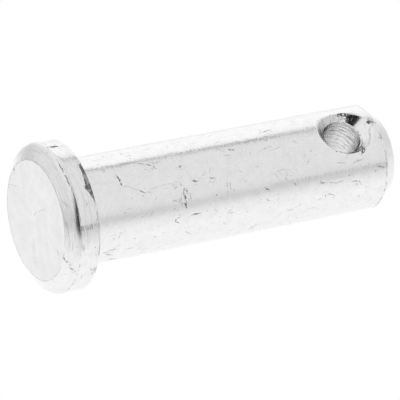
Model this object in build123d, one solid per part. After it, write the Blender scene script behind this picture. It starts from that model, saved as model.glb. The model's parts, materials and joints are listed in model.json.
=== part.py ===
from build123d import *
from math import radians, tan
import os

# A headed clevis pin, formed and turned as one piece of steel, then zinc plated.
# It stands on its head: the origin is the centre of the head's outer face, +Z runs
# along the pin to its tip, and the cross hole for the cotter pin lies along X.
# All lengths are in millimetres, and widths are measured outward from the pin's axis.

# Shank: an inch-series 5/16 pin, a little under its nominal 7.94
shank_diameter = 7.8
length_under_head = 25.6  # from the bearing face to the tip

# Head: flat outer face, bevel, straight rim and flat bearing face
head_overhang = 1.52  # how far the rim stands out past the shank
head_height = 2.25
bevel_width = 1.07
bevel_height = 0.64  # to the corner where bevel and rim would meet if that were sharp
face_rounding = 0.1  # between outer face and bevel
rim_rounding = 0.55  # between bevel and rim
bearing_rounding = 0.08  # between rim and bearing face
under_head_fillet = 0.25  # between bearing face and shank

# Tip: a short taper that leads the pin into its holes
taper_width = 0.73
taper_length = 1.03
taper_rounding = 0.2  # between shank and taper
tip_rounding = 0.16  # between taper and end face

# Cross hole, countersunk alike at both mouths
hole_diameter = 2.8
hole_to_tip = 3.65  # from the hole's axis to the end face
countersink_width = 0.85  # along the crest of the shank
countersink_angle = 90  # included angle of the cone, in degrees

shank_radius = shank_diameter / 2
head_radius = shank_radius + head_overhang
face_radius = head_radius - bevel_width
tip_z = head_height + length_under_head
taper_z = tip_z - taper_length
tip_radius = shank_radius - taper_width
hole_radius = hole_diameter / 2
hole_z = tip_z - hole_to_tip
countersink_depth = countersink_width / tan(radians(countersink_angle / 2))


def blank():
    """The pin before drilling: half of its outline, turned about the axis."""
    half_outline = FilletPolyline(
        (0, 0),
        (face_radius, 0),
        (head_radius, bevel_height),
        (head_radius, head_height),
        (shank_radius, head_height),
        (shank_radius, taper_z),
        (tip_radius, tip_z),
        (0, tip_z),
        radius=[
            face_rounding,
            rim_rounding,
            bearing_rounding,
            under_head_fillet,
            taper_rounding,
            tip_rounding,
        ],
    )
    axis_line = Line((0, tip_z), (0, 0))
    half_section = make_face(half_outline + axis_line)
    return revolve(Plane.XZ * half_section, Axis.Z)


def cross_hole():
    """What the drill and the countersink take away, along X through the axis."""
    bore = Cylinder(hole_radius, shank_diameter, rotation=(0, 90, 0))
    # Each cone runs from the end of the straight wall to as far again past the crest.
    cone_length = 2 * countersink_depth
    mouth = Cone(
        hole_radius,
        hole_radius + 2 * countersink_width,
        cone_length,
        align=(Align.CENTER, Align.CENTER, Align.MIN),
    )
    wall_end = shank_radius - countersink_depth
    near_mouth = Pos(wall_end, 0, 0) * Rot(0, 90, 0) * mouth
    far_mouth = Pos(-wall_end, 0, 0) * Rot(0, -90, 0) * mouth
    return Pos(0, 0, hole_z) * (bore + near_mouth + far_mouth)


clevis_pin = blank() - cross_hole()
clevis_pin.label = "clevis_pin"

os.makedirs("parts", exist_ok=True)
export_step(clevis_pin, "parts/clevis_pin.step")
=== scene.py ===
"""A zinc-plated clevis pin that stands on its head, in a plain white studio.

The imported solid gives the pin's main sizes. The surface here is the same form, finely divided,
with the dents, nicks and scratches of handling pressed into it. Lengths in the named values are
in millimetres and angles in degrees; the scene itself is in metres.
"""

import json
from math import atan2, cos, degrees, pi, radians, sin, tan

import bmesh
import bpy
import numpy as np
from mathutils import Matrix, Vector


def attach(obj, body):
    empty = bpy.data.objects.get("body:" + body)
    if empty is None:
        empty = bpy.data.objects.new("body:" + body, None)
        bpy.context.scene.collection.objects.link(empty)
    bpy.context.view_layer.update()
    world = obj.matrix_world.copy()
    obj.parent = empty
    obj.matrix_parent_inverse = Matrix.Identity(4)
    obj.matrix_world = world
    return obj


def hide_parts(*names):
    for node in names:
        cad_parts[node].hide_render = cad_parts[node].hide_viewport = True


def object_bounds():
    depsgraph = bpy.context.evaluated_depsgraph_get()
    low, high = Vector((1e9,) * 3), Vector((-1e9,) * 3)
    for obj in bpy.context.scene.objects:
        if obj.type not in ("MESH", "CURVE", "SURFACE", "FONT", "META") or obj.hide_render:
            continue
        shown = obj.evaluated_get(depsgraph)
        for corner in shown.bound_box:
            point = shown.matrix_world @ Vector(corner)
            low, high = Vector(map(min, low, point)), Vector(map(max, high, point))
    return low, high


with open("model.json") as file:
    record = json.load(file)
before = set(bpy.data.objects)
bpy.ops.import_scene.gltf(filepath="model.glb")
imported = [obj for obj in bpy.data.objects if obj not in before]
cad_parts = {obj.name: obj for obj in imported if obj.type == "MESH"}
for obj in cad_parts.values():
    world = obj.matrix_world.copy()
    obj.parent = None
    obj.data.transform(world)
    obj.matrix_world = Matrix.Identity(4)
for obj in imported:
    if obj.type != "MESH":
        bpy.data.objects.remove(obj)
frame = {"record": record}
cad_low, cad_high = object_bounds()

MM = 0.001

# ---- sizes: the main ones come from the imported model, the small ones repeat the solid's own ----

mounts = {mount["name"]: mount for mount in frame["record"]["mounts"]}
shank_radius = mounts["shank"]["dims"]["r_mm"]
hole_radius = mounts["cotter_hole"]["dims"]["r_mm"]
hole_wall_end = mounts["cotter_hole"]["dims"]["length_mm"] / 2
hole_height = mounts["cotter_hole"]["pos_m"][2] / MM
head_height = mounts["under_head"]["pos_m"][2] / MM
head_radius = cad_high[0] / MM
tip_height = cad_high[2] / MM

bevel_width = 1.07
bevel_height = 0.64
taper_width = 0.73
taper_length = 1.03
face_rounding = 0.1
rim_rounding = 0.55
bearing_rounding = 0.08
under_head_fillet = 0.25
taper_rounding = 0.2
tip_rounding = 0.16
countersink_angle = 90

face_radius = head_radius - bevel_width
tip_radius = shank_radius - taper_width

# ---- mesh fineness ----

COLUMNS = 224  # quads round the axis
cell = 2 * pi * shank_radius / COLUMNS  # side of a quad on the shank
PATCH_CELLS = 44  # quads along each side of the square that a hole's mouth is set in
PATCH_RINGS = 6  # from that square in to the countersink's edge
CONE_RINGS = 10
ARC_STEPS = 5

# ---- how the pin was photographed ----

VIEW_AZIMUTH = 31.96  # of the camera, seen from the pin, measured from +X towards +Y
VIEW_ELEVATION = -28.15
VIEW_ROLL = -78.81
VIEW_DISTANCE = 292.3
VIEW_AIM = (-0.44, 0.71, 13.14)
LENS = 367.0  # for the 36 mm sensor
TABLE_PITCH = 27  # how far the camera looks down on the table that the pin lay on


# ---- outline ----


def arc(corner, before, after, radius):
    """Points of the arc that rounds a corner between two straight runs."""
    corner, before, after = (np.array(point, float) for point in (corner, before, after))
    to_before = (before - corner) / np.linalg.norm(before - corner)
    to_after = (after - corner) / np.linalg.norm(after - corner)
    half = np.arccos(np.clip(to_before @ to_after, -1, 1)) / 2
    middle = to_before + to_after
    centre = corner + middle / np.linalg.norm(middle) * radius / sin(half)
    start = corner + to_before * radius / tan(half) - centre
    end = corner + to_after * radius / tan(half) - centre
    first = atan2(start[1], start[0])
    turn = (atan2(end[1], end[0]) - first + pi) % (2 * pi) - pi
    steps = max(ARC_STEPS, round(abs(turn) * radius / (0.6 * cell)))
    angles = first + turn * np.linspace(0, 1, steps + 1)
    return centre + radius * np.column_stack([np.cos(angles), np.sin(angles)])


def spaced(start, end, step):
    """Points between two ends, without them, no further apart than step."""
    count = max(1, round(np.linalg.norm(np.subtract(end, start)) / step))
    shares = np.arange(1, count)[:, None] / count
    return np.array(start) + shares * np.subtract(end, start)


def outline():
    """The pin's half outline as (radius, height) rows, from the head's outer face to the tip's end face."""
    corners = [
        (0, 0),
        (face_radius, 0),
        (head_radius, bevel_height),
        (head_radius, head_height),
        (shank_radius, head_height),
        (shank_radius, tip_height - taper_length),
        (tip_radius, tip_height),
        (0, tip_height),
    ]
    roundings = [
        face_rounding,
        rim_rounding,
        bearing_rounding,
        under_head_fillet,
        taper_rounding,
        tip_rounding,
    ]
    patch_reach = PATCH_CELLS / 2 * cell
    taper_corner = 5
    rows = [np.array([(cell, 0.0)])]
    for index, radius in enumerate(roundings, start=1):
        rounded = arc(corners[index], corners[index - 1], corners[index + 1], radius)
        last = rows[-1][-1]
        if index == taper_corner:
            # The rows beside the cross hole fall on the square patches that hold its mouths.
            low = (shank_radius, hole_height - patch_reach)
            high = (shank_radius, hole_height + patch_reach)
            rows += [spaced(last, low, cell), [low], spaced(low, high, cell * 0.999), [high]]
            last = high
        rows += [spaced(last, rounded[0], cell), rounded]
    rows += [spaced(rows[-1][-1], (0, tip_height), cell)]
    return np.concatenate([np.asarray(part, float).reshape(-1, 2) for part in rows])


# ---- mesh ----


class Surface:
    """Vertices and quads of the pin, gathered part by part."""

    def __init__(self):
        self.points = []
        self.faces = []
        self.count = 0

    def add(self, points):
        """Adds points and returns their numbers, in the same arrangement."""
        points = np.asarray(points, float)
        numbers = self.count + np.arange(points[..., 0].size).reshape(points.shape[:-1])
        self.points.append(points.reshape(-1, 3))
        self.count += numbers.size
        return numbers

    def strip(self, ring, other):
        """Quads between two closed loops of vertex numbers."""
        following = np.roll(ring, -1)
        other_following = np.roll(other, -1)
        self.faces.append(np.column_stack([ring, following, other_following, other]))


def turned_point(radius, height, angle):
    return np.stack(np.broadcast_arrays(radius * np.cos(angle), radius * np.sin(angle), height), axis=-1)


def mouth_edge(around):
    """Where the countersink's cone leaves the shank, as the distance from the hole's axis.

    Each round at least halves the error of the last.
    """
    distance = np.full_like(around, hole_radius)
    slope = tan(radians(countersink_angle / 2))
    for _ in range(60):
        depth = np.sqrt(shank_radius**2 - (distance * np.sin(around)) ** 2)
        distance = 0.5 * distance + 0.5 * (hole_radius + (depth - hole_wall_end) * slope)
    return distance


def patch_border():
    """The square's border as (column, row) steps from the hole's axis, once round."""
    half = PATCH_CELLS // 2
    run = np.arange(-half, half)
    side = np.full_like(run, half)
    columns = np.concatenate([run, side, -run, -side])
    rows = np.concatenate([-side, run, side, -run])
    return columns, rows


def add_mouth(surface, grid, middle_row, side):
    """Sets one mouth of the cross hole in its square gap.

    Returns the loop at the bore's end, and the loop's angles round the hole.
    """
    columns, rows = patch_border()
    column_numbers = columns if side > 0 else COLUMNS // 2 - columns
    border = grid[middle_row + rows, column_numbers % COLUMNS]
    along = rows * cell
    across = columns * cell
    around = np.arctan2(across, along)
    edge = mouth_edge(around)
    edge_along = edge * np.cos(around)
    edge_across = shank_radius * np.arcsin(edge * np.sin(around) / shank_radius)
    ring = border
    for step in range(1, PATCH_RINGS + 1):
        share = step / PATCH_RINGS
        height = hole_height + along + (edge_along - along) * share
        angle = (across + (edge_across - across) * share) / shank_radius
        point = turned_point(shank_radius, height, angle)
        point[:, 0] *= side
        following = surface.add(point)
        surface.strip(ring, following)
        ring = following
    edge_depth = np.sqrt(shank_radius**2 - (edge * np.sin(around)) ** 2)
    for step in range(1, CONE_RINGS + 1):
        share = step / CONE_RINGS
        distance = edge + (hole_radius - edge) * share
        depth = edge_depth + (hole_wall_end - edge_depth) * share
        point = hole_point(depth * side, distance, around)
        following = surface.add(point)
        surface.strip(ring, following)
        ring = following
    return ring, around


def hole_point(depth, distance, around):
    """A point given along the hole, out from its axis, and round it."""
    height = hole_height + distance * np.cos(around)
    return np.stack(np.broadcast_arrays(depth, distance * np.sin(around), height), axis=-1)


def build_surface():
    """The whole pin before wear: points, quads, the ends' triangles, and the bore's two crisp loops."""
    surface = Surface()
    rows = outline()
    angles = 2 * pi * np.arange(COLUMNS) / COLUMNS
    grid = surface.add(turned_point(rows[:, :1], rows[:, 1:], angles[None, :]))

    middle_row = int(np.argmin(np.abs(rows[:, 1] - hole_height)))
    half = PATCH_CELLS // 2
    row_index = np.arange(len(rows) - 1)[:, None]
    column_index = np.arange(COLUMNS)[None, :]
    beside_hole = (row_index >= middle_row - half) & (row_index < middle_row + half)
    from_near = (column_index + half) % COLUMNS
    from_far = (column_index + half - COLUMNS // 2) % COLUMNS
    in_patch = beside_hole & ((from_near < PATCH_CELLS) | (from_far < PATCH_CELLS))
    kept_rows, kept_columns = np.nonzero(~in_patch)
    next_columns = (kept_columns + 1) % COLUMNS
    surface.faces.append(
        np.column_stack(
            [
                grid[kept_rows, kept_columns],
                grid[kept_rows, next_columns],
                grid[kept_rows + 1, next_columns],
                grid[kept_rows + 1, kept_columns],
            ]
        )
    )

    near_ring, around = add_mouth(surface, grid, middle_row, 1)
    far_ring, around = add_mouth(surface, grid, middle_row, -1)
    bore_rings = round(2 * hole_wall_end / cell)
    ring = near_ring
    for step in range(1, bore_rings):
        depth = hole_wall_end * (1 - 2 * step / bore_rings)
        following = surface.add(hole_point(depth, hole_radius, around))
        surface.strip(ring, following)
        ring = following
    surface.strip(ring, far_ring)
    crisp = np.concatenate([near_ring, far_ring])

    caps = []
    for ring, height in ((grid[0], 0), (grid[-1], tip_height)):
        centre = int(surface.add(np.array([[0, 0, height]]))[0])
        caps += [(int(a), int(b), centre) for a, b in zip(ring, np.roll(ring, -1))]
    return np.concatenate(surface.points), np.concatenate(surface.faces), caps, crisp


# ---- wear: dents, nicks and scratches as short lines on the surface, and a few painted dark reflections ----

SHANK, RIM, BEVEL, FACE, HOLE = "shank", "rim", "bevel", "face", "hole"

# Each is (where, spots along the line, half width, depth, darkness). A spot is (angle, height) on the
# shank and rim, (angle, distance from the axis) on the bevel and face, and by the cross hole it is
# (angle round the hole from the tip's side, distance from the hole's axis). A darkness over 1 is for
# marks without gaps.
SEEN_MARKS = [
    # the ding near the head, and the long curved scratch that starts from it
    (SHANK, [(3, 5.25), (7, 5.3), (11.5, 5.3)], 0.10, 0.020, 1.0),
    (SHANK, [(12, 5.3), (18.5, 6.0), (25, 6.75)], 0.05, 0.006, 0.22),
    (SHANK, [(25, 6.75), (23, 7.6), (21.5, 8.8), (22, 9.9)], 0.05, 0.006, 0.20),
    (SHANK, [(23, 6.55), (25.5, 6.85)], 0.06, 0.010, 0.8),
    (SHANK, [(25.5, 7.0), (26, 7.2)], 0.06, 0.010, 0.6),
    # a group of ticks beside the bright band
    (SHANK, [(-8, 7.4), (-7, 7.7)], 0.07, 0.012, 0.6),
    (SHANK, [(-5, 7.9), (-3, 8.1)], 0.08, 0.012, 0.7),
    (SHANK, [(-6, 8.3), (-5, 8.8)], 0.07, 0.012, 0.6),
    (SHANK, [(-1, 7.5), (1.5, 7.6)], 0.06, 0.012, 0.6),
    (SHANK, [(-2.5, 8.2), (0.5, 8.3)], 0.07, 0.012, 0.7),
    (SHANK, [(3, 8.1), (4, 8.4)], 0.05, 0.008, 0.5),
    (SHANK, [(5, 10.2), (5, 10.3)], 0.09, 0.015, 0.9),
    # the dark group halfway along
    (SHANK, [(29, 10.0), (35, 9.95)], 0.06, 0.012, 0.7),
    (SHANK, [(35, 9.9), (41, 10.0)], 0.11, 0.015, 1.0),
    (SHANK, [(41, 9.9), (49, 9.95)], 0.09, 0.012, 1.0),
    (SHANK, [(33, 10.2), (39, 10.15)], 0.05, 0.010, 0.7),
    (SHANK, [(37, 9.65), (43, 9.6)], 0.06, 0.010, 0.6),
    (SHANK, [(40, 9.1), (42, 9.35)], 0.09, 0.010, 0.4),
    (SHANK, [(44, 9.5), (46, 9.7)], 0.09, 0.010, 0.5),
    (SHANK, [(37, 10.4), (41, 10.4)], 0.05, 0.010, 0.5),
    (SHANK, [(24, 9.8), (28, 9.9)], 0.05, 0.008, 0.5),
    # single pits and dashes towards the tip
    (SHANK, [(23.5, 10.9), (24, 11.0)], 0.12, 0.018, 1.0),
    (SHANK, [(21.5, 11.5), (22, 11.6)], 0.05, 0.008, 0.5),
    (SHANK, [(24, 12.3), (24.5, 12.45)], 0.08, 0.012, 0.7),
    (SHANK, [(28, 12.2), (29, 12.3)], 0.05, 0.008, 0.4),
    (SHANK, [(33, 13.45), (38, 13.4)], 0.05, 0.008, 0.5),
    (SHANK, [(38, 13.4), (44, 13.4)], 0.05, 0.008, 0.4),
    (SHANK, [(34, 13.7), (38, 13.7)], 0.04, 0.008, 0.4),
    (SHANK, [(-3.5, 14.6), (-3, 14.75)], 0.09, 0.012, 0.9),
    (SHANK, [(2, 14.0), (3, 14.3)], 0.05, 0.008, 0.5),
    (SHANK, [(23, 14.7), (24, 14.9)], 0.06, 0.010, 0.35),
    (SHANK, [(3.5, 17.1), (2, 17.7)], 0.05, 0.008, 0.5),
    (SHANK, [(7, 17.8), (5, 18.4)], 0.04, 0.006, 0.3),
    (SHANK, [(46.5, 16.6), (47.5, 16.7)], 0.10, 0.012, 0.9),
    (SHANK, [(58, 16.6), (59, 16.7)], 0.08, 0.010, 0.5),
    (SHANK, [(34.5, 17.5), (36, 17.55)], 0.07, 0.010, 0.5),
    (SHANK, [(46, 18.9), (48, 19.0)], 0.07, 0.010, 0.6),
    (SHANK, [(31, 17.6), (29.5, 18.1), (31, 18.7), (37, 18.95)], 0.04, 0.006, 0.25),
    (SHANK, [(37, 18.95), (38.5, 18.6), (37, 18.2), (33, 17.8), (31, 17.6)], 0.04, 0.006, 0.25),
    (SHANK, [(2, 19.8), (3, 19.9)], 0.06, 0.008, 0.7),
    (SHANK, [(51.5, 21.1), (52.5, 21.35)], 0.09, 0.010, 0.6),
    (SHANK, [(53, 21.9), (55, 22.4), (54, 23.0)], 0.05, 0.008, 0.45),
    (SHANK, [(57, 23.9), (58, 24.4), (61, 24.5)], 0.06, 0.010, 0.6),
    (SHANK, [(62, 24.1), (63, 24.5)], 0.06, 0.010, 0.5),
    (SHANK, [(65, 21.6), (67, 21.5), (69, 21.6)], 0.05, 0.008, 0.5),
    (SHANK, [(71, 21.0), (70, 21.6), (66, 21.8), (69, 22.3)], 0.05, 0.008, 0.5),
    (SHANK, [(34, 22.7), (35.5, 23.2)], 0.05, 0.008, 0.35),
    (SHANK, [(37, 24.0), (35.5, 24.7)], 0.06, 0.008, 0.4),
    (SHANK, [(77, 24.5), (79, 24.6)], 0.06, 0.008, 0.4),
    (SHANK, [(46, 26.1), (47.5, 26.4)], 0.12, 0.010, 0.6),
    # the underside, where the pale table is mirrored
    (SHANK, [(59, 9.3), (60.5, 9.1), (62.5, 9.1), (64.5, 9.3)], 0.06, 0.010, 0.7),
    (SHANK, [(58.5, 10.5), (58.7, 11.0)], 0.07, 0.012, 0.8),
    (SHANK, [(60, 10.6), (61, 10.8)], 0.06, 0.010, 0.6),
    (SHANK, [(65.5, 13.5), (65.5, 13.9)], 0.06, 0.008, 0.4),
    (SHANK, [(81, 10.3), (82, 10.4)], 0.08, 0.010, 0.5),
    (SHANK, [(97, 15.8), (94.5, 15.9), (92, 16.1)], 0.06, 0.010, 0.6),
    (SHANK, [(96, 16.1), (93.5, 15.8)], 0.05, 0.010, 0.5),
    (SHANK, [(77, 7.5), (77.5, 7.65)], 0.08, 0.010, 0.5),
    (SHANK, [(86, 3.6), (84, 4.1), (84, 4.5)], 0.08, 0.010, 0.5),
    (SHANK, [(90, 3.9), (93, 4.3)], 0.07, 0.010, 0.6),
    (SHANK, [(103, 4.5), (104, 4.8)], 0.09, 0.010, 0.7),
    (SHANK, [(87, 5.5), (87.5, 5.9)], 0.06, 0.008, 0.5),
    (SHANK, [(78, 18.7), (76, 19.1), (73, 19.5)], 0.05, 0.008, 0.5),
    (SHANK, [(76, 18.6), (75, 18.9)], 0.05, 0.008, 0.5),
    (SHANK, [(84, 20.1), (81, 20.4), (82, 20.9), (85, 21.2)], 0.04, 0.008, 0.35),
    # the bright band
    (SHANK, [(-20, 18.0), (-20, 18.1)], 0.07, 0.010, 0.8),
    (SHANK, [(-21, 18.35), (-21, 18.45)], 0.06, 0.010, 0.7),
    (SHANK, [(-32.5, 14.0), (-33, 14.1)], 0.06, 0.010, 0.4),
    (SHANK, [(-23, 6.9), (-23, 7.1)], 0.06, 0.010, 0.4),
    (SHANK, [(-30, 8.7), (-29.5, 8.9)], 0.06, 0.010, 0.4),
    (SHANK, [(-39.5, 18.9), (-38.5, 19.3), (-38.5, 19.8)], 0.05, 0.008, 0.3),
    # the head
    (RIM, [(-30.7, 1.10), (-30.2, 1.36)], 0.17, 0.020, 2.0),
    (RIM, [(-29.5, 1.5), (-29, 1.85)], 0.07, 0.015, 0.35),
    (RIM, [(26, 1.5), (28, 1.5)], 0.05, 0.008, 0.5),
    (RIM, [(24, 1.85), (27, 1.9)], 0.05, 0.008, 0.4),
    (RIM, [(58, 0.85), (61, 0.9)], 0.14, 0.008, 0.3),
    (RIM, [(80, 1.7), (82, 1.75)], 0.06, 0.010, 0.6),
    (RIM, [(85, 1.95), (87.5, 1.95)], 0.07, 0.010, 0.6),
    (RIM, [(81, 2.0), (83, 2.05)], 0.06, 0.010, 0.5),
    (RIM, [(66, 1.9), (69, 1.95)], 0.06, 0.010, 0.5),
    (BEVEL, [(74.5, 4.36), (75.5, 4.42)], 0.10, 0.015, 0.9),
    (BEVEL, [(75, 4.55), (76, 4.7)], 0.08, 0.010, 0.6),
    (BEVEL, [(81, 5.0), (81.5, 5.15)], 0.09, 0.015, 0.7),
    (BEVEL, [(23, 4.7), (25, 4.8)], 0.15, 0.006, 0.25),
    (FACE, [(-84.5, 4.22), (-83.5, 4.34)], 0.11, 0.040, 0.9),
    (FACE, [(76, 3.4), (78, 3.6)], 0.08, 0.008, 0.45),
    (FACE, [(-4, 0.9), (3, 1.3), (12, 1.85)], 0.07, 0.004, 0.22),
    (FACE, [(-60, 0.4), (-30, 0.6)], 0.06, 0.006, 0.3),
    (FACE, [(-104, 4.1), (-95, 3.3)], 0.05, 0.006, 0.25),
    (FACE, [(91, 2.1), (92, 2.35)], 0.12, 0.003, 0.12),
    (FACE, [(154, 1.9), (150, 2.5), (148, 3.1)], 0.40, 0.0, 0.10),
    # the countersink's edge
    (HOLE, [(-9, 2.18), (-7, 2.36)], 0.17, 0.006, 2.0),
    (HOLE, [(-6, 2.1), (8, 2.0), (22, 1.97), (46, 1.9)], 0.12, 0.006, 0.32),
    # painted dark reflection: widens the opening's black reflection on the cone, over a shallow dent
    (HOLE, [(-77, 1.76), (-67, 1.80), (-58, 1.84)], 0.16, 0.006, 1.4),
    (HOLE, [(-172, 1.58), (-176, 1.85)], 0.20, 0.004, 0.35),
    # the same painted dark reflection, in two more strokes over shallow dents
    (HOLE, [(-54, 1.60), (-54, 1.92)], 0.17, 0.005, 1.0),
    (HOLE, [(-61, 1.58), (-60, 1.90)], 0.15, 0.005, 0.80),
    # painted dark reflection: an arc round the bore's mouth, with no dent under it
    (HOLE, [(-5, 1.45), (12, 1.46), (25, 1.49), (38, 1.51), (50, 1.51), (62, 1.48)], 0.10, 0.0, 0.50),
    (HOLE, [(-158, 2.08), (-152, 2.10)], 0.06, 0.006, 0.6),
    (HOLE, [(-140, 1.98), (-139, 2.08)], 0.06, 0.006, 0.7),
    (HOLE, [(-125, 1.88), (-124, 1.96)], 0.06, 0.006, 0.7),
    (HOLE, [(-100, 1.78), (-99, 1.84)], 0.05, 0.006, 0.6),
    (HOLE, [(60, 1.75), (68, 1.92)], 0.17, 0.004, 1.5),
]

# The plating is gone along the rim's back edge, from this bound (angle, height) up to the edge.
CHIP_BOUND = [
    (-6.5, 2.35),
    (-5.5, 2.05),
    (-4, 1.98),
    (-1, 1.90),
    (2, 1.98),
    (4.5, 1.86),
    (7, 1.90),
    (10, 1.78),
    (12, 1.80),
    (14.5, 1.67),
    (17, 1.72),
    (18.5, 1.86),
    (21, 1.90),
    (24, 2.04),
    (27, 2.12),
    (29, 2.35),
]
CHIP_DEPTH = 0.05

HANDLING_MARKS = 380  # small ones that no picture shows, all over
HANDLING_SEED = 7
NARROWEST_DENT = 0.08  # half width that the mesh can hold; what is finer is left to the material
FAR_BESIDE = 9.0  # half widths, past which nothing of a mark is left
LIP_PLACE = 1.7  # half widths from a mark's line to the low lip along it
LIP_SHARE = 0.3  # the lip's height, as a share of the mark's depth


def place(where, first, second):
    """A surface point in the pin's frame, from its part and its two numbers."""
    turn = radians(first)
    if where == FACE:
        return turned_point(second, 0.0, turn)
    if where == BEVEL:
        slope = bevel_height / bevel_width
        return turned_point(second, (second - face_radius) * slope, turn)
    if where == HOLE:
        cone_depth = hole_wall_end + (second - hole_radius) / tan(radians(countersink_angle / 2))
        crest_depth = np.sqrt(shank_radius**2 - (second * sin(turn)) ** 2)
        return hole_point(min(cone_depth, crest_depth), second, turn)
    radius = head_radius if where == RIM else shank_radius
    return turned_point(radius, second, turn)


def handling_marks():
    """Small random pits, ticks and scratches over the whole pin."""
    random = np.random.default_rng(HANDLING_SEED)
    marks = []
    for _ in range(HANDLING_MARKS):
        angle = random.uniform(-180, 180)
        where = random.choice([SHANK, RIM, FACE], p=[0.84, 0.10, 0.06])
        span = {SHANK: (head_height + 1, tip_height - 2), RIM: (1.1, 2.0), FACE: (0.6, 3.6)}[where]
        second = random.uniform(*span)
        heading = random.uniform(-pi, pi)
        length = random.uniform(0.1, 0.6) ** 2
        turn = degrees(length * sin(heading) / max(second if where == FACE else shank_radius, 1.0))
        half_width = random.uniform(0.03, 0.06)
        depth = random.uniform(0.003, 0.010)
        darkness = random.uniform(0.05, 0.45) * (0.3 if where == FACE else 1)
        end = (angle + turn, second + length * cos(heading))
        marks.append((where, [(angle, second), end], half_width, depth, darkness))
    return marks


def distance_to_line(points, normals, line):
    """Distance from points to a line of straight stretches, and 1 or -1 for the side of it they are on."""
    nearest = np.full(len(points), np.inf)
    side = np.ones(len(points))
    for start, end in zip(line[:-1], line[1:]):
        run = end - start
        share = np.clip((points - start) @ run / (run @ run), 0, 1)
        gap = points - start - share[:, None] * run
        away = np.linalg.norm(gap, axis=1)
        turned = np.sum(np.cross(run, gap) * normals, axis=1)
        closer = away < nearest
        nearest = np.where(closer, away, nearest)
        side = np.where(closer, np.where(turned < 0, -1.0, 1.0), side)
    return nearest, side


def wear_and_painted_reflections(points, normals):
    """Per vertex: how far it is pressed in, in millimetres, and its place beside the nearest mark.

    That place is the distance to the mark's line in half widths, below zero on one side, so that the
    material can draw the line finer than the mesh. The mark's darkness comes with it.
    """
    pressed = np.zeros(len(points))
    beside = np.full(len(points), FAR_BESIDE)
    darkness = np.zeros(len(points))
    for where, spots, half_width, depth, dark in SEEN_MARKS + handling_marks():
        line = np.array([place(where, *spot) for spot in spots])
        middle = line.mean(axis=0)
        reach = FAR_BESIDE * half_width + np.abs(line - middle).max()
        close = np.nonzero(np.abs(points - middle).max(axis=1) < reach)[0]
        away, side = distance_to_line(points[close], normals[close], line)
        dent = away / max(half_width, NARROWEST_DENT)
        lip = LIP_SHARE * np.exp(-3 * (dent - LIP_PLACE) ** 2)
        pressed[close] += depth * (np.exp(-(dent**2)) - lip)
        share = dark * np.clip(2 - (away - half_width) / cell, 0, 1)
        nearer = close[share > darkness[close]]
        kept = share > darkness[close]
        beside[nearer] = np.clip(side * away / half_width, -FAR_BESIDE, FAR_BESIDE)[kept]
        darkness[nearer] = share[kept]
    return pressed, beside, darkness


def above_chip(points):
    """How far each vertex lies above the bound of the rim's chip, in millimetres; -1 away from it."""
    angle = np.degrees(np.arctan2(points[:, 1], points[:, 0]))
    bound_angles, bound_heights = np.array(CHIP_BOUND).T
    bound = np.interp(angle, bound_angles, bound_heights)
    on_rim = np.hypot(points[:, 0], points[:, 1]) > head_radius - 0.12
    within = (angle > bound_angles[0]) & (angle < bound_angles[-1])
    return np.where(on_rim & within, np.clip(points[:, 2] - bound, -1, 1), -1.0)


def make_pin():
    """The pin as one mesh object, worn and with its attributes."""
    points, quads, caps, crisp = build_surface()
    mesh = bpy.data.meshes.new("clevis_pin_worn")
    mesh.from_pydata((points * MM).tolist(), [], quads.tolist() + caps)
    pin = bpy.data.objects.new("pin_surface", mesh)
    bpy.context.scene.collection.objects.link(pin)

    work = bmesh.new()
    work.from_mesh(mesh)
    bmesh.ops.recalc_face_normals(work, faces=work.faces)
    work.to_mesh(mesh)
    work.free()
    mesh.update()

    normals = np.zeros(len(points) * 3)
    mesh.vertices.foreach_get("normal", normals)
    normals = normals.reshape(-1, 3)
    pressed, beside, darkness = wear_and_painted_reflections(points, normals)
    chipped = above_chip(points)
    chip_depth = CHIP_DEPTH * np.clip(chipped / cell + 0.5, 0, 1)
    moved = points - normals * (pressed + chip_depth)[:, None]
    # Nothing rises past the solid's own ends.
    moved[:, 2] = np.clip(moved[:, 2], 0, tip_height)
    mesh.vertices.foreach_set("co", (moved * MM).ravel())
    for name, values in (("mark_beside", beside), ("mark_darkness", darkness), ("above_chip", chipped)):
        layer = mesh.attributes.new(name, "FLOAT", "POINT")
        layer.data.foreach_set("value", values.astype(np.float32))
    mesh.polygons.foreach_set("use_smooth", np.ones(len(mesh.polygons), bool))
    ends = np.zeros(len(mesh.edges) * 2, int)
    mesh.edges.foreach_get("vertices", ends)
    sharp = np.isin(ends.reshape(-1, 2), crisp).all(axis=1)
    mesh.attributes.new("sharp_edge", "BOOLEAN", "EDGE").data.foreach_set("value", sharp)
    mesh.update()
    return pin


# ---- shader nodes ----


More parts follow.
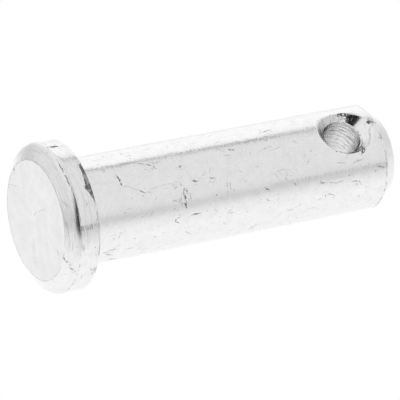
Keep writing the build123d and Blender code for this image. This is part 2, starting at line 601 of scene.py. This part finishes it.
class Graph:
    """Adds nodes to a shader tree; each call returns the new node's output."""

    def __init__(self, tree):
        self.tree = tree
        tree.nodes.clear()

    def node(self, kind, inputs=None, **settings):
        made = self.tree.nodes.new(kind)
        for name, value in settings.items():
            setattr(made, name, value)
        for key, value in (inputs or {}).items():
            self.feed(made.inputs[key], value)
        return made

    def feed(self, socket, value):
        if isinstance(value, bpy.types.NodeSocket):
            self.tree.links.new(value, socket)
        else:
            socket.default_value = value

    def math(self, operation, *values):
        inputs = dict(enumerate(values))
        return self.node("ShaderNodeMath", inputs, operation=operation).outputs[0]

    def add(self, *values):
        total = values[0]
        for value in values[1:]:
            total = self.math("ADD", total, value)
        return total

    def times(self, *values):
        total = values[0]
        for value in values[1:]:
            total = self.math("MULTIPLY", total, value)
        return total

    def most(self, *values):
        total = values[0]
        for value in values[1:]:
            total = self.math("MAXIMUM", total, value)
        return total

    def length(self, first, second):
        squares = self.add(self.times(first, first), self.times(second, second))
        return self.math("SQRT", squares)

    def gap(self, value, target):
        """How far a value is from a target, either way."""
        return self.math("ABSOLUTE", self.math("SUBTRACT", value, target))

    def vector(self, x, y, z):
        return self.node("ShaderNodeCombineXYZ", {0: x, 1: y, 2: z}).outputs[0]

    def dot(self, vector, direction):
        inputs = {0: vector, 1: tuple(direction)}
        return self.node("ShaderNodeVectorMath", inputs, operation="DOT_PRODUCT").outputs["Value"]

    def ease(self, value, low, high, to_low=0.0, to_high=1.0):
        """A smooth step from to_low at low to to_high at high."""
        inputs = {0: value, 1: low, 2: high, 3: to_low, 4: to_high}
        return self.node("ShaderNodeMapRange", inputs, interpolation_type="SMOOTHSTEP").outputs[0]

    def between(self, value, low, high, soft):
        """1 from low to high, fading to 0 over a soft edge outside each."""
        return self.times(self.ease(value, low - soft, low), self.ease(value, high + soft, high))

    def ramp(self, value, stops):
        """Straight runs between (place, grey) stops, with place from 0 to 1."""
        made = self.node("ShaderNodeValToRGB", {0: value})
        elements = made.color_ramp.elements
        while len(elements) < len(stops):
            elements.new(0.5)
        for element, (spot, grey) in zip(elements, stops):
            element.position = spot
            element.color = (grey, grey, grey, 1)
        return made.outputs[0]

    def mix(self, share, first, second):
        made = self.node("ShaderNodeMix", data_type="FLOAT")
        self.feed(made.inputs[0], share)
        self.feed(made.inputs[2], first)
        self.feed(made.inputs[3], second)
        return made.outputs[0]

    def noise(self, vector, scale, detail=2.0, roughness=0.5, w=None):
        inputs = {"Vector": vector, "Scale": scale, "Detail": detail, "Roughness": roughness}
        dimensions = "3D"
        if w is not None:
            inputs["W"] = w
            dimensions = "4D"
        return self.node("ShaderNodeTexNoise", inputs, noise_dimensions=dimensions).outputs[0]

    def attribute(self, name):
        return self.node("ShaderNodeAttribute", attribute_name=name).outputs["Fac"]


MOUTH_REACH = 2.4  # from the cross hole's axis to just outside its countersink


class Spot:
    """Where the shaded point lies on the pin, in millimetres and degrees."""

    def __init__(self, graph):
        self.graph = graph
        metres = graph.node("ShaderNodeTexCoord").outputs["Object"]
        scaled = graph.node("ShaderNodeVectorMath", {0: metres, "Scale": 1 / MM}, operation="SCALE")
        self.whole = scaled.outputs[0]
        self.x, self.y, self.z = graph.node("ShaderNodeSeparateXYZ", {0: self.whole}).outputs
        self.radius = graph.length(self.x, self.y)
        self.angle = graph.times(graph.math("ARCTAN2", self.y, self.x), 180 / pi)
        self.above_hole = graph.math("SUBTRACT", self.z, hole_height)
        self.from_hole = graph.length(self.y, self.above_hole)
        self.around_hole = graph.times(graph.math("ARCTAN2", self.y, self.above_hole), 180 / pi)
        below_crest = graph.ease(self.radius, shank_radius - 0.03, shank_radius - 0.06)
        near_hole = graph.ease(self.from_hole, MOUTH_REACH, MOUTH_REACH - 0.05)
        self.in_hole = graph.times(below_crest, near_hole)
        self.turned_part = graph.math("SUBTRACT", 1.0, self.in_hole)
        within_bore = graph.ease(self.from_hole, hole_radius + 0.05, hole_radius)
        self.in_bore = graph.times(self.in_hole, within_bore)
        inside_edge = graph.ease(self.radius, face_radius + 0.05, face_radius - 0.05)
        self.on_face = graph.times(graph.ease(self.z, 0.06, 0.02), inside_edge)
        outermost = graph.ease(self.radius, head_radius - 0.47, head_radius - 0.37)
        self.on_rounding = graph.times(graph.ease(self.z, 0.90, 0.80), outermost)

    def turned(self, along, across, detail=3.0):
        """Noise drawn out round the pin's axis, by its lines' length and pitch."""
        graph = self.graph
        flat = (graph.times(self.x, 1 / along), graph.times(self.y, 1 / along))
        vector = graph.vector(*flat, graph.times(self.z, 1 / across))
        return graph.noise(vector, 1.0, detail, 0.6, w=graph.times(self.radius, 1 / across))

    def drilled(self, along, across):
        """Noise drawn out round the cross hole's axis."""
        graph = self.graph
        flat = (graph.times(self.y, 1 / along), graph.times(self.above_hole, 1 / along))
        return graph.noise(graph.vector(graph.times(self.x, 1 / across), *flat), 1.0, 2.0, 0.6)

    def chattered(self, ticks, along):
        """Noise in short ticks that point to the cross hole's axis."""
        graph = self.graph
        share = graph.math("DIVIDE", ticks, self.from_hole)
        flat = (graph.times(self.y, share), graph.times(self.above_hole, share))
        return graph.noise(graph.vector(graph.times(self.from_hole, 1 / along), *flat), 1.0, 2.0, 0.6)


# ---- zinc plating ----

# Greys, and by how much each kind of wear and working, and each painted highlight and shade, changes them
ZINC = 0.87
MOTTLE = 0.022  # its soft patches, either way
SCUFF = 0.10  # its fine scuffs
FACE_SCUFF = 0.03
FACE_BLOTCH = 0.14
DARK = 0.17  # in pits and scratches, and in the painted dark reflections along edges, on the countersink and of the horizon
HAIR_SHARE = 0.07  # how far the hairlines go from the plating's grey to the dark
CHATTER_SHARE = 0.24
# painted reflection: dark ticks where the edge of the mirrored horizon lies, on the rim and on the shank
RIM_HORIZON_REFLECTION_TICKS = 0.50
SHANK_HORIZON_REFLECTION_TICKS = 0.27
BARE = (0.16, 0.42)  # where the plating has come off, from its darkest to its lightest
STREAKS = 0.14  # how much darker the turning streaks are on the head
BEVEL_STREAKS = 0.28
FAINT_STREAKS = 0.028
TAPER_PAINTED_HIGHLIGHT = 1.09  # painted highlight, on the side of the taper that is brighter
MOUTH_SHADE = 0.95  # inside the bore, beside its mouths
MOUTH_SHADE_DEPTH = 0.8
RIDGE_SHADE = 0.84  # between the drill's ridges
BORE_SIDE_SHADE = 0.86
HEAD_SIDE_SHADED = (2.8, 2.4)  # where that sets in on the head's side, as distances from the pin's axis

# Roughness
POLISHED = (0.10, 0.17)
CHATTERED = 0.30
ROUNDED = 0.24
WORN = 0.5

# Relief in millimetres: height of the ups and downs that each kind of working or wear left
TURNING_RELIEF = 0.008
FACE_TURNING_RELIEF = 0.0024
ROUNDING_RELIEF = 0.012
GRAIN_RELIEF = 0.0020
SWELL_RELIEF = 0.015
DRILLING_RELIEF = 0.060
CHATTER_RELIEF = 0.065
MARK_RELIEF = 0.006

# Stretches round the pin's axis: first angle, last angle and how softly they end
STREAKED_SIDE = (-70, 62, 12)
BEVEL_STREAKED_SIDE = (28, 62, 8)
# where the painted ticks of the mirrored horizon lie, on the rim and on the shank
RIM_HORIZON_REFLECTION_SIDE = (43.5, 46, 1.5)
SHANK_HORIZON_REFLECTION_SIDE = (43.7, 44.5, 3.0)
# the side of the taper with the painted highlight
TAPER_HIGHLIGHT_SIDE = (-2, 30, 6)

# The same round the cross hole's axis, from the tip's side towards +Y
CLEAN_CONE_SIDE = (-58, 45, 12)
BORE_HEAD_SIDE = (-112, -76, 15)
BORE_TIP_SIDE = (8, 45, 12)

# Painted dark reflections, in thin lines where two faces meet:
# (edge, place, half width, first angle, last angle, gaps, darkness).
# The place is the distance from the axis on the face's edge and the height on the others. The more
# gaps, the more of the line is missing.
EDGE_REFLECTIONS = [
    ("face", face_radius - 0.03, 0.05, -180, 60, 0.30, 0.45),
    ("face", face_radius - 0.03, 0.05, 60, 180, 0.45, 0.30),
    ("rim", 0.66, 0.055, -14, 15, 0.45, 0.80),
    ("rim", 0.74, 0.05, 58, 112, 0.50, 0.35),
    ("rim", 2.12, 0.07, 28, 56, 0.45, 0.35),
    ("rim", 2.14, 0.07, 56, 84, 0.50, 0.50),
    ("tip", 26.73, 0.10, 10, 110, 0.55, 0.48),
    ("tip", 26.75, 0.06, -60, 10, 0.50, 0.30),
    ("tip", 26.75, 0.05, 110, 180, 0.50, 0.35),
    ("tip", 26.75, 0.05, -180, -60, 0.50, 0.35),
]
EDGE_WOBBLE = 0.16

SPECK_SPACING = 0.38
SPECK_RADII = (0.07, 0.20)
SPECK_DARKNESS = (0.10, 0.75)

taper_start = tip_height - taper_length


def painted_edge_reflections(graph, spot, wander):
    """The share of painted dark reflection that lies along the pin's edges."""
    regions = {
        "face": (spot.radius, graph.ease(spot.z, 0.35, 0.25)),
        "rim": (spot.z, graph.ease(spot.radius, head_radius - 0.52, head_radius - 0.42)),
        "tip": (spot.z, graph.ease(spot.radius, shank_radius - 0.3, shank_radius - 0.2)),
    }
    breaks = spot.turned(0.7, 0.5)
    wobble = graph.times(wander, EDGE_WOBBLE)
    found = []
    for edge, place_at, half_width, first, last, gaps, darkness in EDGE_REFLECTIONS:
        coordinate, region = regions[edge]
        away = graph.gap(graph.add(coordinate, wobble), place_at)
        line = graph.ease(away, half_width, 0.3 * half_width)
        threshold = 0.5 + 0.5 * (gaps - 0.5)
        present = graph.ease(breaks, threshold - 0.06, threshold + 0.06)
        stretch = graph.between(spot.angle, first, last, 3)
        found.append(graph.times(line, present, stretch, region, darkness))
    return graph.most(*found)


def specks(graph, spot):
    """Small dark pits, scattered, and gathered in some places."""
    cells = graph.node("ShaderNodeTexVoronoi", {"Vector": spot.whole, "Scale": 1 / SPECK_SPACING})
    chance, size, strength = graph.node("ShaderNodeSeparateColor", {0: cells.outputs["Color"]}).outputs
    gathered = graph.noise(spot.whole, 0.35, 1.0)
    chosen = graph.ease(graph.add(chance, graph.times(gathered, 1.6)), 1.25, 1.30)
    smallest, largest = SPECK_RADII
    radius = graph.add(smallest, graph.times(size, largest - smallest))
    share = graph.math("DIVIDE", cells.outputs["Distance"], radius)
    return graph.times(graph.ease(share, 1.1, 0.6), chosen, graph.ease(strength, 0.0, 1.0, *SPECK_DARKNESS))


def hairlines(graph, spot):
    """Hair-thin curved scratches, in short stretches."""
    found = []
    for shift, size in ((0.0, 0.9), (17.0, 0.6)):
        moved = graph.node("ShaderNodeVectorMath", {0: spot.whole, 1: (shift, shift, shift)}).outputs[0]
        field = graph.noise(moved, size, 1.0, 0.4)
        line = graph.ease(graph.gap(field, 0.5), 0.014, 0.003)
        kept = graph.ease(graph.noise(moved, 0.8 * size + 0.5, 1.0), 0.54, 0.60)
        found.append(graph.times(line, kept))
    return graph.most(*found)


class FinishAndPaintedReflections:
    """Shares of each kind of wear, working and painted dark reflection at the shaded point, from 0 to 1."""

    def __init__(self, graph, spot):
        self.ragged = graph.noise(spot.whole, 4.2, 2.0)
        wander = graph.math("SUBTRACT", self.ragged, 0.5)
        beside = graph.math("ABSOLUTE", graph.attribute("mark_beside"))
        beside = graph.add(beside, graph.times(wander, 2.0))
        broken = graph.ease(graph.noise(spot.whole, 7.0, 1.0), 0.34, 0.50)
        marks = graph.times(graph.ease(beside, 1.1, 0.3), broken, graph.attribute("mark_darkness"))
        self.marks = graph.math("MINIMUM", marks, 1.0)
        self.pits = graph.times(specks(graph, spot), spot.turned_part, graph.mix(spot.on_face, 1.0, 0.15))
        above_head = graph.ease(spot.z, head_height, head_height + 0.1)
        self.hairs = graph.times(hairlines(graph, spot), spot.turned_part, above_head)
        # The painted dark reflections along the pin's edges.
        self.edges = painted_edge_reflections(graph, spot, wander)
        above = graph.add(graph.attribute("above_chip"), graph.times(wander, 0.35))
        self.bare = graph.ease(above, -0.02, 0.03)

        self.drilled = spot.drilled(1.3, 0.23)
        self.chatter = spot.chattered(11.0, 0.6)
        in_cone = graph.math("SUBTRACT", spot.in_hole, spot.in_bore)
        clean = graph.between(spot.around_hole, *CLEAN_CONE_SIDE)
        self.chattered = graph.times(in_cone, graph.mix(clean, 1.0, 0.08))

        off_face = graph.math("SUBTRACT", 1.0, spot.on_face)
        self.on_head = graph.times(graph.ease(spot.z, head_height, head_height - 0.1), off_face)
        on_rim = graph.times(graph.ease(spot.radius, head_radius - 0.12, head_radius - 0.02), self.on_head)
        # Painted reflection: dark ticks along the edge of the horizon's mirrored band, on the rim and on the
        # shank.
        rim_horizon_reflection = graph.times(graph.between(spot.angle, *RIM_HORIZON_REFLECTION_SIDE), on_rim)
        rim_ticks = graph.ease(spot.turned(0.9, 0.09, 1.0), 0.50, 0.60)
        near_tip = graph.times(
            graph.ease(spot.z, 16, 18.5), graph.ease(spot.z, taper_start - 0.12, taper_start - 0.32)
        )
        shank_horizon_reflection = graph.between(spot.angle, *SHANK_HORIZON_REFLECTION_SIDE)
        shank_horizon_reflection = graph.times(shank_horizon_reflection, near_tip, spot.turned_part)
        shank_ticks = graph.ease(spot.turned(0.9, 0.10, 1.0), 0.44, 0.62)
        self.horizon_reflection_ticks = graph.most(
            graph.times(rim_ticks, rim_horizon_reflection, RIM_HORIZON_REFLECTION_TICKS),
            graph.times(shank_ticks, shank_horizon_reflection, SHANK_HORIZON_REFLECTION_TICKS),
        )


def zinc_bump(graph, spot, finish_and_reflections):
    """The surface's fine relief, as a normal."""
    turning_relief = graph.mix(spot.on_face, TURNING_RELIEF, FACE_TURNING_RELIEF)
    turning = graph.times(spot.turned(0.5, 0.15, 1.5), turning_relief)
    scoring = graph.times(spot.turned(0.7, 0.06, 1.0), spot.on_rounding, ROUNDING_RELIEF)
    grain = graph.times(graph.noise(spot.whole, 3.0, 3.0, 0.6), GRAIN_RELIEF)
    swell = graph.times(graph.noise(spot.whole, 0.5, 1.0), SWELL_RELIEF)
    outside = graph.times(graph.add(turning, scoring, grain, swell), spot.turned_part)
    drilling = graph.times(finish_and_reflections.drilled, spot.in_bore, DRILLING_RELIEF)
    chatter = graph.times(finish_and_reflections.chatter, finish_and_reflections.chattered, CHATTER_RELIEF)
    pressed = graph.most(finish_and_reflections.marks, finish_and_reflections.pits, graph.times(finish_and_reflections.hairs, 0.2))
    relief = graph.add(outside, drilling, chatter, graph.times(pressed, -MARK_RELIEF))
    return graph.node("ShaderNodeBump", {"Strength": 1.0, "Distance": MM, "Height": relief}).outputs[0]


def plated_tone(graph, spot, finish_and_reflections):
    """The grey of the whole plating before wear, with a painted highlight on one side of the taper."""
    mottle = graph.noise(spot.whole, 1.3, 4.0, 0.6)
    tone = graph.ease(mottle, 0.3, 0.7, ZINC - MOTTLE, ZINC + MOTTLE)
    scuffs = graph.math("SUBTRACT", graph.noise(spot.whole, 5.5, 2.0, 0.6), 0.5)
    tone = graph.add(tone, graph.times(scuffs, graph.mix(spot.on_face, SCUFF, FACE_SCUFF)))

    bevel = graph.ease(spot.radius, head_radius - 0.22, head_radius - 0.32)
    bevel = graph.times(graph.between(spot.angle, *BEVEL_STREAKED_SIDE), bevel)
    streaked = graph.times(finish_and_reflections.on_head, graph.between(spot.angle, *STREAKED_SIDE))
    strength = graph.mix(streaked, FAINT_STREAKS, graph.mix(bevel, STREAKS, BEVEL_STREAKS))
    streaks = graph.times(graph.ease(spot.turned(1.2, 0.11), 0.45, 0.70), strength, finish_and_reflections.on_head)
    tone = graph.times(tone, graph.math("SUBTRACT", 1.0, streaks))

    blotch = graph.math("SUBTRACT", graph.noise(spot.whole, 0.55, 1.0), 0.5)
    tone = graph.add(tone, graph.times(blotch, spot.on_face, FACE_BLOTCH))
    # Painted highlight: one side of the taper is made lighter than the plating's grey.
    taper_highlight = graph.ease(spot.z, taper_start - 0.07, taper_start + 0.08)
    taper_highlight = graph.times(taper_highlight, graph.ease(spot.z, tip_height - 0.02, tip_height - 0.10))
    taper_highlight = graph.times(taper_highlight, graph.between(spot.angle, *TAPER_HIGHLIGHT_SIDE))
    return graph.times(tone, graph.mix(taper_highlight, 1.0, TAPER_PAINTED_HIGHLIGHT))


def bore_shade(graph, spot, finish_and_reflections):
    """What the plating's grey is multiplied by inside the bore."""
    out = graph.math("ABSOLUTE", spot.x)
    mouth = graph.ease(out, hole_wall_end - MOUTH_SHADE_DEPTH, hole_wall_end, 1.0, MOUTH_SHADE)
    ridges = graph.ease(finish_and_reflections.drilled, 0.50, 0.62, 1.0, RIDGE_SHADE)
    head_side = graph.between(spot.around_hole, *BORE_HEAD_SIDE)
    head_side = graph.times(head_side, graph.ease(out, *HEAD_SIDE_SHADED))
    sides = graph.most(head_side, graph.between(spot.around_hole, *BORE_TIP_SIDE))
    return graph.times(mouth, ridges, graph.mix(sides, 1.0, BORE_SIDE_SHADE))


def zinc_material():
    material = bpy.data.materials.new("bright_zinc")
    material.use_nodes = True
    graph = Graph(material.node_tree)
    spot = Spot(graph)
    finish_and_reflections = FinishAndPaintedReflections(graph, spot)

    tone = plated_tone(graph, spot, finish_and_reflections)
    tone = graph.mix(spot.in_bore, tone, graph.times(tone, bore_shade(graph, spot, finish_and_reflections)))
    chatter = graph.times(graph.ease(finish_and_reflections.chatter, 0.50, 0.62), finish_and_reflections.chattered, CHATTER_SHARE)
    tone = graph.mix(chatter, tone, DARK)
    tone = graph.mix(graph.times(finish_and_reflections.hairs, HAIR_SHARE), tone, DARK)
    # Marks and pits, and the painted dark reflections along the edges and of the horizon.
    tone = graph.mix(graph.most(finish_and_reflections.marks, finish_and_reflections.pits, finish_and_reflections.edges, finish_and_reflections.horizon_reflection_ticks), tone, DARK)
    tone = graph.mix(finish_and_reflections.bare, tone, graph.ease(finish_and_reflections.ragged, 0.45, 0.65, *BARE))
    colour = graph.node("ShaderNodeCombineColor", {0: tone, 1: tone, 2: tone}).outputs[0]

    roughness = graph.ease(graph.noise(spot.whole, 0.26, 2.0), 0.3, 0.7, *POLISHED)
    roughness = graph.mix(finish_and_reflections.chattered, roughness, CHATTERED)
    roughness = graph.mix(spot.on_rounding, roughness, ROUNDED)
    worn_and_edge_reflections = graph.most(finish_and_reflections.bare, finish_and_reflections.marks, finish_and_reflections.pits, finish_and_reflections.edges)
    roughness = graph.mix(worn_and_edge_reflections, roughness, WORN)

    bump = zinc_bump(graph, spot, finish_and_reflections)
    inputs = {"Base Color": colour, "Metallic": 1.0, "Roughness": roughness, "Normal": bump}
    shader = graph.node("ShaderNodeBsdfPrincipled", inputs)
    graph.node("ShaderNodeOutputMaterial", {"Surface": shader.outputs[0]})
    return material


# ---- camera ----


def view_axes():
    """The camera's place, and its right, up and back directions, in the pin's frame."""
    azimuth = radians(VIEW_AZIMUTH)
    elevation = radians(VIEW_ELEVATION)
    back = Vector((cos(elevation) * cos(azimuth), cos(elevation) * sin(azimuth), sin(elevation)))
    level_right = Vector((0, 0, 1)).cross(back).normalized()
    level_up = back.cross(level_right)
    roll = radians(VIEW_ROLL)
    up = cos(roll) * level_up + sin(roll) * level_right
    right = up.cross(back)
    place_of = (Vector(VIEW_AIM) + VIEW_DISTANCE * back) * MM
    return place_of, right, up, back


def make_camera():
    place_of, right, up, back = view_axes()
    data = bpy.data.cameras.new("camera")
    data.lens = LENS
    data.sensor_width = 36.0
    data.clip_start = 0.01
    camera = bpy.data.objects.new("camera", data)
    bpy.context.scene.collection.objects.link(camera)
    turn = Matrix((right, up, back)).transposed().to_4x4()
    camera.matrix_world = Matrix.Translation(place_of) @ turn
    bpy.context.scene.camera = camera


# ---- studio: what the bright metal mirrors, by direction ----

# (elevation above the table, brightness), from the table through the horizon to the walls
STUDIO_LEVELS = [
    (-40, 1.017),
    (-22, 0.95),
    (-13, 0.855),
    (-4, 0.70),
    (1, 0.70),
    (5, 0.775),
    (14, 0.842),
    (30, 0.851),
]
# Azimuth is measured from the camera's direction towards its right, and elevation from the table. Pairs
# run from where a thing starts to where it is whole; threes are the first, the last and how softly they end.
BACKDROP = 1.075
BACKDROP_SIDES = (140, 172)
BACKDROP_TOP = (49.5, 48.5)
BACKDROP_FOOT = (-50, -38)
FAR_HORIZON = 0.96  # where the table ends against the backdrop
FAR_HORIZON_HEIGHTS = (-3, 3, 3)  # lowest, highest and how softly it ends
GAP = 0.12  # over the backdrop's top edge, on the right
GAP_FOOT = (48.2, 48.9)
GAP_TOP = (51.8, 50.0)
GAP_SIDE = (125, 140)
BRIGHT_WALL = 0.93  # high on the left
BRIGHT_WALL_SIDES = (-125, -42, 8)
BRIGHT_WALL_FOOT = (26, 36)
OPENING = 0.02  # the dark opening that the camera looks through
OPENING_RIGHT = (15, 13)
OPENING_HEIGHTS = (-4, 62, 4)
OPENING_LEFT = -52  # azimuth of its left edge at the table's level
OPENING_SLANT = 0.8  # how far that edge leans in, in degrees for each degree up


def make_world():
    world = bpy.data.worlds.new("studio")
    bpy.context.scene.world = world
    world.use_nodes = True
    graph = Graph(world.node_tree)
    _, right, up, back = view_axes()
    pitch = radians(TABLE_PITCH)
    table_up = cos(pitch) * up + sin(pitch) * back
    front = cos(pitch) * back - sin(pitch) * up
    direction = graph.node("ShaderNodeTexCoord").outputs["Generated"]
    elevation = graph.times(graph.math("ARCSINE", graph.dot(direction, table_up)), 180 / pi)
    azimuth = graph.math("ARCTAN2", graph.dot(direction, right), graph.dot(direction, front))
    azimuth = graph.times(azimuth, 180 / pi)
    away = graph.math("ABSOLUTE", azimuth)

    lowest, highest = STUDIO_LEVELS[0][0], STUDIO_LEVELS[-1][0]
    span = highest - lowest
    height = graph.node("ShaderNodeMapRange", {0: elevation, 1: lowest, 2: highest}).outputs[0]
    light = graph.ramp(height, [((level - lowest) / span, grey) for level, grey in STUDIO_LEVELS])

    backdrop = graph.times(graph.ease(away, *BACKDROP_SIDES), graph.ease(elevation, *BACKDROP_TOP))
    backdrop = graph.times(backdrop, graph.ease(elevation, *BACKDROP_FOOT))
    far_horizon = graph.between(elevation, *FAR_HORIZON_HEIGHTS)
    light = graph.mix(backdrop, light, graph.mix(far_horizon, BACKDROP, FAR_HORIZON))
    gap = graph.times(graph.ease(elevation, *GAP_FOOT), graph.ease(elevation, *GAP_TOP))
    gap = graph.times(gap, graph.ease(azimuth, *GAP_SIDE))
    light = graph.mix(gap, light, GAP)

    bright_wall = graph.between(azimuth, *BRIGHT_WALL_SIDES)
    bright_wall = graph.times(bright_wall, graph.ease(elevation, *BRIGHT_WALL_FOOT))
    light = graph.mix(bright_wall, light, BRIGHT_WALL)

    left_edge = graph.add(graph.times(elevation, OPENING_SLANT), OPENING_LEFT)
    opening = graph.ease(graph.math("SUBTRACT", azimuth, left_edge), 0.0, 2.0)
    opening = graph.times(opening, graph.ease(azimuth, *OPENING_RIGHT))
    opening = graph.times(opening, graph.between(elevation, *OPENING_HEIGHTS))
    light = graph.mix(opening, light, OPENING)

    # Past the pin, the camera itself sees plain white.
    seen = graph.node("ShaderNodeLightPath").outputs["Is Camera Ray"]
    light = graph.mix(seen, light, 1.0)
    colour = graph.node("ShaderNodeCombineColor", {0: light, 1: light, 2: light}).outputs[0]
    background = graph.node("ShaderNodeBackground", {"Color": colour, "Strength": 1.0})
    graph.node("ShaderNodeOutputWorld", {"Surface": background.outputs[0]})


# ---- floor: shown from above only, because the main view looks up at the head's outer face ----

FLOOR_RADIUS = 120.0
FLOOR_CORNERS = 96
FLOOR_CLEAR = 22.0  # out to here the floor is plain, and from here it fades into the white
FLOOR_FADED = 0.8 * FLOOR_RADIUS
FLOOR_DROP = 0.02  # below the pin, so that the two don't share a face
FLOOR_GREY = 0.9


def make_floor():
    angles = 2 * pi * np.arange(FLOOR_CORNERS) / FLOOR_CORNERS
    ring = turned_point(FLOOR_RADIUS, -FLOOR_DROP, angles) * MM
    mesh = bpy.data.meshes.new("floor")
    mesh.from_pydata(ring.tolist(), [], [list(range(FLOOR_CORNERS))])
    floor = bpy.data.objects.new("floor", mesh)
    bpy.context.scene.collection.objects.link(floor)
    material = bpy.data.materials.new("floor_white")
    material.use_nodes = True
    graph = Graph(material.node_tree)
    spot = graph.node("ShaderNodeTexCoord").outputs["Object"]
    out = graph.node("ShaderNodeVectorMath", {0: spot}, operation="LENGTH").outputs["Value"]
    grey = (FLOOR_GREY, FLOOR_GREY, FLOOR_GREY, 1)
    matt = graph.node("ShaderNodeBsdfDiffuse", {"Color": grey}).outputs[0]
    white = graph.node("ShaderNodeEmission", {"Color": (1, 1, 1, 1), "Strength": 1.0}).outputs[0]
    clear = graph.node("ShaderNodeBsdfTransparent").outputs[0]
    fade = graph.ease(out, FLOOR_CLEAR * MM, FLOOR_FADED * MM)
    top = graph.node("ShaderNodeMixShader", {0: fade, 1: matt, 2: white}).outputs[0]
    under = graph.node("ShaderNodeNewGeometry").outputs["Backfacing"]
    both = graph.node("ShaderNodeMixShader", {0: under, 1: top, 2: clear}).outputs[0]
    graph.node("ShaderNodeOutputMaterial", {"Surface": both})
    mesh.materials.append(material)
    floor.visible_diffuse = False
    floor.visible_glossy = False
    floor.visible_transmission = False
    floor.visible_shadow = False


# ---- the scene ----

pin = make_pin()
pin.data.materials.append(zinc_material())
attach(pin, "root")
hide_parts("clevis_pin")

make_camera()
make_world()
make_floor()
bpy.context.scene.view_settings.view_transform = "Standard"
